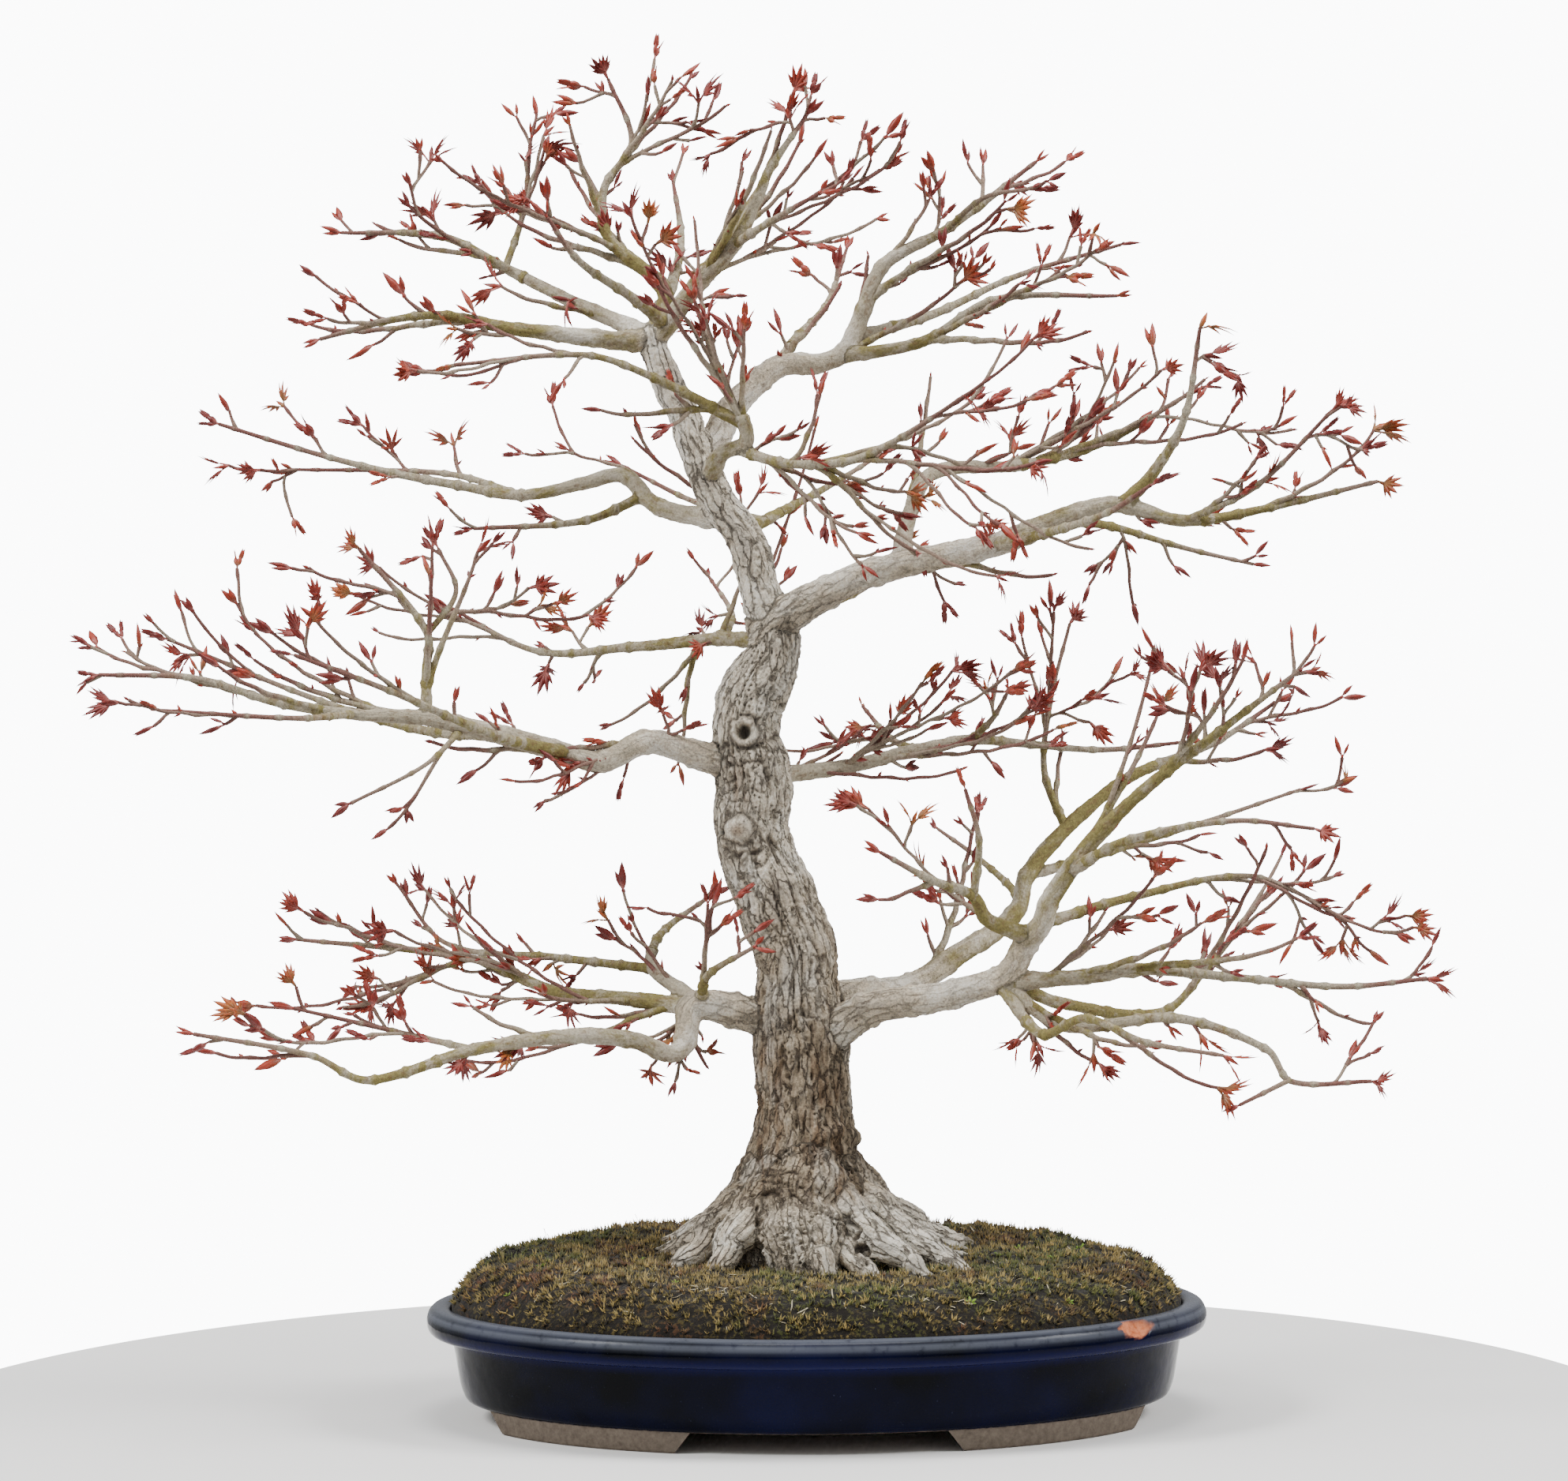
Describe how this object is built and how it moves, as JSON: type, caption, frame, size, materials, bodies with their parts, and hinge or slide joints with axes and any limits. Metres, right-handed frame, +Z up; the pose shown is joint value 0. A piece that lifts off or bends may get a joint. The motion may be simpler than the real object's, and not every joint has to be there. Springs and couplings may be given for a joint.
{
  "type": "japanese maple bonsai",
  "caption": "Leafless spring Japanese maple bonsai with a curved trunk, tiered limbs and opening red buds, in a mossed oval glazed pot.",
  "frame": {"origin": "on the surface that the pot stands on, under the middle of the whole tree and pot", "axes": "+Z up, +X to the right and +Y to the back as the tree is shown, the pot's long axis along X"},
  "size_m": [0.6868, 0.3356, 0.6934],
  "materials": {
    "cobalt_glaze": "gloss",
    "drain_mesh": "matte",
    "staple_wire": "satin",
    "akadama_soil": "matte",
    "moss_carpet": "matte",
    "maple_bark": "matte",
    "young_leaf": "satin"
  },
  "bodies": {
    "root": {"pot": "cobalt_glaze", "drain_screen_left": "drain_mesh", "drain_screen_right": "drain_mesh", "screen_staple_left": "staple_wire", "screen_staple_right": "staple_wire", "soil": "akadama_soil", "moss": "moss_carpet", "wood": "maple_bark", "leaf_pair_01": "young_leaf", "leaf_pair_02": "young_leaf", "leaf_pair_03": "young_leaf", "leaf_pair_04": "young_leaf", "leaf_pair_05": "young_leaf", "leaf_pair_06": "young_leaf", "leaf_pair_07": "young_leaf", "leaf_pair_08": "young_leaf", "leaf_pair_09": "young_leaf", "leaf_pair_10": "young_leaf", "leaf_pair_11": "young_leaf", "leaf_pair_12": "young_leaf", "leaf_pair_13": "young_leaf", "leaf_pair_14": "young_leaf", "leaf_pair_15": "young_leaf", "leaf_pair_16": "young_leaf", "leaf_pair_17": "young_leaf", "leaf_pair_18": "young_leaf", "leaf_pair_19": "young_leaf", "leaf_pair_20": "young_leaf", "leaf_pair_21": "young_leaf", "leaf_pair_22": "young_leaf", "leaf_pair_23": "young_leaf", "leaf_pair_24": "young_leaf", "leaf_pair_25": "young_leaf", "leaf_pair_26": "young_leaf", "leaf_pair_27": "young_leaf", "leaf_pair_28": "young_leaf", "leaf_pair_29": "young_leaf", "leaf_pair_30": "young_leaf", "leaf_pair_31": "young_leaf", "leaf_pair_32": "young_leaf", "leaf_pair_33": "young_leaf", "leaf_pair_34": "young_leaf", "leaf_pair_35": "young_leaf", "leaf_pair_36": "young_leaf", "leaf_pair_37": "young_leaf", "leaf_pair_38": "young_leaf", "leaf_pair_39": "young_leaf", "leaf_pair_40": "young_leaf", "leaf_pair_41": "young_leaf", "leaf_pair_42": "young_leaf", "leaf_pair_43": "young_leaf", "leaf_pair_44": "young_leaf", "leaf_pair_45": "young_leaf", "leaf_pair_46": "young_leaf", "leaf_pair_47": "young_leaf", "leaf_pair_48": "young_leaf"}
  },
  "joints": []
}
